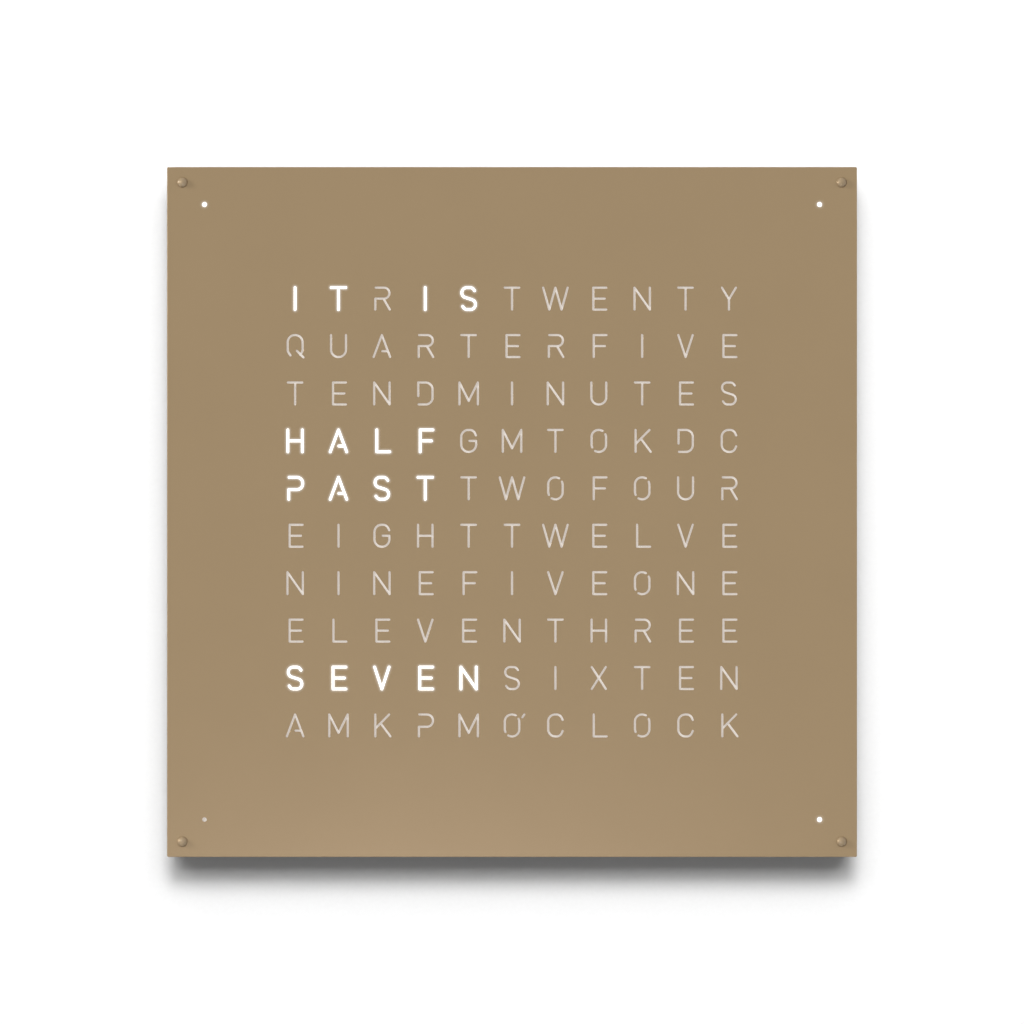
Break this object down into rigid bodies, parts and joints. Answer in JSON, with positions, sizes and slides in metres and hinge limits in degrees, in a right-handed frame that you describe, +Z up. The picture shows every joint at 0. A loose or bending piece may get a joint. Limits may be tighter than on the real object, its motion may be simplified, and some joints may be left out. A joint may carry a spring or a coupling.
{
  "type": "word clock",
  "caption": "Square wall clock with a stencilled letter grid lit from behind, a cover on corner pins, a shallow shell and a hook-on wall bracket.",
  "frame": {"origin": "centre of the wall bracket's back face, on the wall plane and on the clock's centre axis", "axes": "+X right as seen by a reader, +Z up, +Y into the wall, so the front faces -Y"},
  "size_m": [0.45, 0.0222, 0.45],
  "materials": {
    "cover_coat": "satin bronze-gold metallic coat",
    "shell_plastic": "fine moulded texture",
    "bracket_steel": "brushed sheet",
    "fastener_steel": "bright zinc plated",
    "bumper_rubber": "matt",
    "board_laminate": "white solder mask",
    "green_laminate": "green solder mask",
    "lamp_resin": "phosphor resin",
    "white_plastic": "moulded white",
    "opal_acrylic": "opal sheet",
    "chip_epoxy": "moulded epoxy",
    "black_plastic": "moulded black",
    "grey_plastic": "moulded grey",
    "clear_plastic": "clear acrylic",
    "copper_wire": "enamelled copper",
    "ferrite": "sintered ferrite",
    "brass": "turned",
    "nickel": "nickel plated",
    "can_aluminium": "drawn can",
    "lead_jacket": "soft jacket"
  },
  "bodies": {
    "bracket": {"wall_bracket": "bracket_steel"},
    "clock": {"rear_shell": "shell_plastic", "hanger_rail": "bracket_steel", "rail_rivets": "fastener_steel", "wall_bumpers": "bumper_rubber", "lamp_board": "board_laminate", "letter_lamps": "lamp_resin", "lamp_drivers": "chip_epoxy", "light_grid": "white_plastic", "diffuser_sheet": "opal_acrylic", "grid_screws": "fastener_steel", "diffuser_screws": "fastener_steel", "mark_boards": "board_laminate", "mark_lamps": "lamp_resin", "light_wells": "white_plastic", "mark_screws": "fastener_steel", "lead_plugs": "white_plastic", "mark_leads": "lead_jacket", "controller_board": "green_laminate", "board_screws": "fastener_steel", "power_jack": "black_plastic", "power_jack_pin": "nickel", "controller_chip": "chip_epoxy", "voltage_regulator": "chip_epoxy", "power_inductor": "grey_plastic", "clock_crystal": "nickel", "cell_holder": "black_plastic", "coin_cell": "nickel", "capacitors": "can_aluminium", "ribbon_headers": "black_plastic", "ribbon_cable": "lead_jacket", "antenna_rod": "ferrite", "antenna_coil": "copper_wire", "antenna_clips": "white_plastic", "receiver_board": "green_laminate", "receiver_chip": "chip_epoxy", "coil_leads": "copper_wire", "receiver_lead": "lead_jacket", "push_switches": "grey_plastic", "sensor_window": "clear_plastic", "light_sensor": "clear_plastic", "socket_magnets": "nickel", "socket_bushes": "brass"},
    "cover": {"front_cover": "cover_coat", "cover_pins": "cover_coat", "pin_nuts": "fastener_steel"},
    "mode_button": {"mode_button": "grey_plastic"},
    "hour_button": {"hour_button": "grey_plastic"},
    "minute_button": {"minute_button": "grey_plastic"},
    "brightness_button": {"brightness_button": "grey_plastic"}
  },
  "joints": [
    {"name": "lift_off_hooks", "type": "slide", "parent": "bracket", "child": "clock", "axis": [0, 0, 1], "range_m": [0, 0.01]},
    {"name": "cover_pull_off", "type": "slide", "parent": "clock", "child": "cover", "axis": [0, -1, 0], "range_m": [0, 0.035]},
    {"name": "mode_press", "type": "slide", "parent": "clock", "child": "mode_button", "axis": [0, 0, 1], "range_m": [0, 0.0005], "stiffness_N_per_m": 2000, "springref_m": -0.0005},
    {"name": "hour_press", "type": "slide", "parent": "clock", "child": "hour_button", "axis": [0, 0, 1], "range_m": [0, 0.0005], "stiffness_N_per_m": 2000, "springref_m": -0.0005},
    {"name": "minute_press", "type": "slide", "parent": "clock", "child": "minute_button", "axis": [0, 0, 1], "range_m": [0, 0.0005], "stiffness_N_per_m": 2000, "springref_m": -0.0005},
    {"name": "brightness_press", "type": "slide", "parent": "clock", "child": "brightness_button", "axis": [0, 0, 1], "range_m": [0, 0.0005], "stiffness_N_per_m": 2000, "springref_m": -0.0005}
  ]
}
